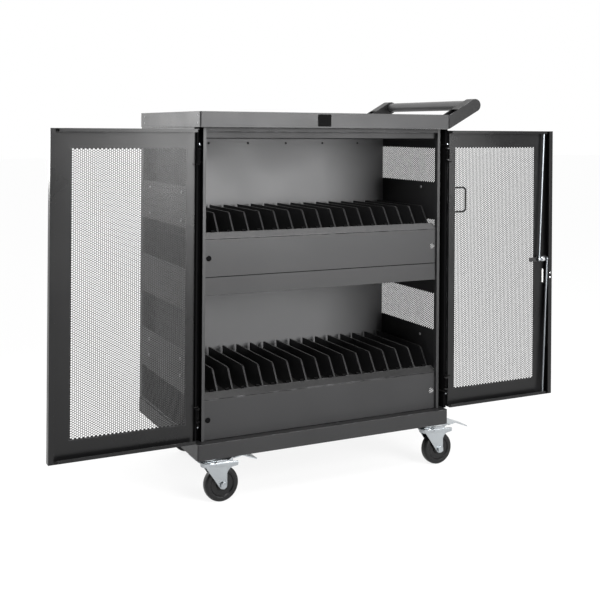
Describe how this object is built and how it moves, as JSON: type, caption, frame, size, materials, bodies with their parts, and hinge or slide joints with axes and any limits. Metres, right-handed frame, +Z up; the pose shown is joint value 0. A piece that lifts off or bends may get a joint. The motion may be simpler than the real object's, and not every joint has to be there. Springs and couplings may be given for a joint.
{
  "type": "device charging cart",
  "caption": "Wheeled sheet steel cart that stores and charges portable computers: perforated lockable doors, slotted shelves, rear power bay, push handle and swivel casters.",
  "frame": {"origin": "on the floor under the middle of the whole object with its front doors open", "axes": "+X to the cart's right end, which has the handle, as seen from the front; +Y from the front to the back; +Z up"},
  "size_m": [1.63, 0.5436, 1.1419],
  "materials": {
    "black_paint": "fine-textured satin black powder coat on sheet steel",
    "black_plastic": "moulded matt black plastic",
    "zinc_plate": "bright bluish zinc plating on pressed steel",
    "bright_steel": "bright plated steel",
    "grip": "satin black tube",
    "wheel": "black rubber tyre on a black hub"
  },
  "bodies": {
    "cabinet": {"base_frame": "black_paint", "power_inlet": "black_plastic", "top_cap": "black_paint", "badge_plate": "black_plastic", "header_rail": "black_paint", "shelf_beam": "black_paint", "upper_fascia": "black_paint", "lower_fascia": "black_paint", "bay_back_panel": "black_paint", "rear_frame": "black_paint", "handle_front_bracket": "black_paint", "handle_rear_bracket": "black_paint", "handle_bar": "grip", "cord_wrap_bracket": "black_paint", "upper_shelf_deck": "black_paint", "lower_shelf_deck": "black_paint", "upper_divider_rack": "black_plastic", "lower_divider_rack": "black_plastic", "upper_power_strip": "black_plastic", "lower_power_strip": "black_plastic", "right_side_panel": "black_paint", "left_side_panel": "black_paint", "right_front_post": "black_paint", "left_front_post": "black_paint", "front_left_caster_plate": "zinc_plate", "front_right_caster_plate": "zinc_plate", "rear_left_caster_plate": "zinc_plate", "rear_right_caster_plate": "zinc_plate"},
    "left_door": {"left_door_frame": "black_paint", "left_door_skin": "black_paint"},
    "right_door": {"right_door_frame": "black_paint", "right_door_skin": "black_paint", "lock_escutcheon": "black_plastic"},
    "door_lock": {"lock_handle": "black_plastic", "lock_cam": "zinc_plate"},
    "upper_rod": {"upper_lock_rod": "bright_steel"},
    "lower_rod": {"lower_lock_rod": "bright_steel"},
    "left_upper_pin": {"left_upper_hinge_pin": "zinc_plate"},
    "left_lower_pin": {"left_lower_hinge_pin": "zinc_plate"},
    "right_upper_pin": {"right_upper_hinge_pin": "zinc_plate"},
    "right_lower_pin": {"right_lower_hinge_pin": "zinc_plate"},
    "left_rear_leaf": {"left_rear_door": "black_paint"},
    "right_rear_leaf": {"right_rear_door": "black_paint"},
    "rear_cam_lock": {"rear_lock": "bright_steel"},
    "front_left_swivel": {"front_left_fork": "zinc_plate", "front_left_axle": "zinc_plate"},
    "front_left_roller": {"front_left_wheel": "wheel"},
    "front_left_brake": {"front_left_brake_pedal": "zinc_plate"},
    "front_right_swivel": {"front_right_fork": "zinc_plate", "front_right_axle": "zinc_plate"},
    "front_right_roller": {"front_right_wheel": "wheel"},
    "front_right_brake": {"front_right_brake_pedal": "zinc_plate"},
    "rear_left_swivel": {"rear_left_fork": "zinc_plate", "rear_left_axle": "zinc_plate"},
    "rear_left_roller": {"rear_left_wheel": "wheel"},
    "rear_right_swivel": {"rear_right_fork": "zinc_plate", "rear_right_axle": "zinc_plate"},
    "rear_right_roller": {"rear_right_wheel": "wheel"}
  },
  "joints": [
    {"name": "left_door_swing", "type": "hinge", "parent": "cabinet", "child": "left_door", "pos_m": [-0.4085, -0.25775, 0.613], "axis": [0, 0, 1], "range_deg": [0, 180]},
    {"name": "right_door_swing", "type": "hinge", "parent": "cabinet", "child": "right_door", "pos_m": [0.4085, -0.25775, 0.613], "axis": [0, 0, -1], "range_deg": [0, 180]},
    {"name": "lock_turn", "type": "hinge", "parent": "right_door", "child": "door_lock", "pos_m": [0.7845, -0.24925, 0.625], "axis": [0, 1, 0], "range_deg": [0, 90]},
    {"name": "upper_rod_slide", "type": "slide", "parent": "right_door", "child": "upper_rod", "axis": [0, 0, 1], "range_m": [0, 0.0165]},
    {"name": "lower_rod_slide", "type": "slide", "parent": "right_door", "child": "lower_rod", "axis": [0, 0, -1], "range_m": [0, 0.0165]},
    {"name": "left_upper_pin_pull", "type": "slide", "parent": "left_door", "child": "left_upper_pin", "axis": [0, 0, -1], "range_m": [0, 0.0095], "stiffness_N_per_m": 400, "springref_m": -0.006},
    {"name": "left_lower_pin_pull", "type": "slide", "parent": "left_door", "child": "left_lower_pin", "axis": [0, 0, 1], "range_m": [0, 0.0095], "stiffness_N_per_m": 400, "springref_m": -0.006},
    {"name": "right_upper_pin_pull", "type": "slide", "parent": "right_door", "child": "right_upper_pin", "axis": [0, 0, -1], "range_m": [0, 0.0095], "stiffness_N_per_m": 400, "springref_m": -0.006},
    {"name": "right_lower_pin_pull", "type": "slide", "parent": "right_door", "child": "right_lower_pin", "axis": [0, 0, 1], "range_m": [0, 0.0095], "stiffness_N_per_m": 400, "springref_m": -0.006},
    {"name": "left_rear_door_swing", "type": "hinge", "parent": "cabinet", "child": "left_rear_leaf", "pos_m": [-0.401, 0.26475, 0.613], "axis": [0, 0, 1], "range_deg": [0, 110]},
    {"name": "right_rear_door_swing", "type": "hinge", "parent": "cabinet", "child": "right_rear_leaf", "pos_m": [0.401, 0.26475, 0.613], "axis": [0, 0, -1], "range_deg": [0, 110]},
    {"name": "rear_lock_turn", "type": "hinge", "parent": "right_rear_leaf", "child": "rear_cam_lock", "pos_m": [0.032, 0.26375, 0.612], "axis": [0, 1, 0], "range_deg": [0, 90]},
    {"name": "front_left_swivel_turn", "type": "hinge", "parent": "cabinet", "child": "front_left_swivel", "pos_m": [-0.3624, -0.21825, 0.1203], "axis": [0, 0, 1], "continuous": true},
    {"name": "front_left_wheel_roll", "type": "hinge", "parent": "front_left_swivel", "child": "front_left_roller", "pos_m": [-0.3234, -0.21825, 0.05], "axis": [0, 1, 0], "continuous": true},
    {"name": "front_left_brake_press", "type": "hinge", "parent": "front_left_swivel", "child": "front_left_brake", "pos_m": [-0.3424, -0.21825, 0.109], "axis": [0, 1, 0], "range_deg": [0, 6]},
    {"name": "front_right_swivel_turn", "type": "hinge", "parent": "cabinet", "child": "front_right_swivel", "pos_m": [0.3624, -0.21825, 0.1203], "axis": [0, 0, 1], "continuous": true},
    {"name": "front_right_wheel_roll", "type": "hinge", "parent": "front_right_swivel", "child": "front_right_roller", "pos_m": [0.4014, -0.21825, 0.05], "axis": [0, 1, 0], "continuous": true},
    {"name": "front_right_brake_press", "type": "hinge", "parent": "front_right_swivel", "child": "front_right_brake", "pos_m": [0.3824, -0.21825, 0.109], "axis": [0, 1, 0], "range_deg": [0, 6]},
    {"name": "rear_left_swivel_turn", "type": "hinge", "parent": "cabinet", "child": "rear_left_swivel", "pos_m": [-0.302, 0.22375, 0.1203], "axis": [0, 0, 1], "continuous": true},
    {"name": "rear_left_wheel_roll", "type": "hinge", "parent": "rear_left_swivel", "child": "rear_left_roller", "pos_m": [-0.263, 0.22375, 0.05], "axis": [0, 1, 0], "continuous": true},
    {"name": "rear_right_swivel_turn", "type": "hinge", "parent": "cabinet", "child": "rear_right_swivel", "pos_m": [0.302, 0.22375, 0.1203], "axis": [0, 0, 1], "continuous": true},
    {"name": "rear_right_wheel_roll", "type": "hinge", "parent": "rear_right_swivel", "child": "rear_right_roller", "pos_m": [0.341, 0.22375, 0.05], "axis": [0, 1, 0], "continuous": true}
  ],
  "couplings": [
    {"joint": "upper_rod_slide", "follows": "lock_turn", "m_per_rad": 0.0105},
    {"joint": "lower_rod_slide", "follows": "lock_turn", "m_per_rad": 0.0105}
  ]
}
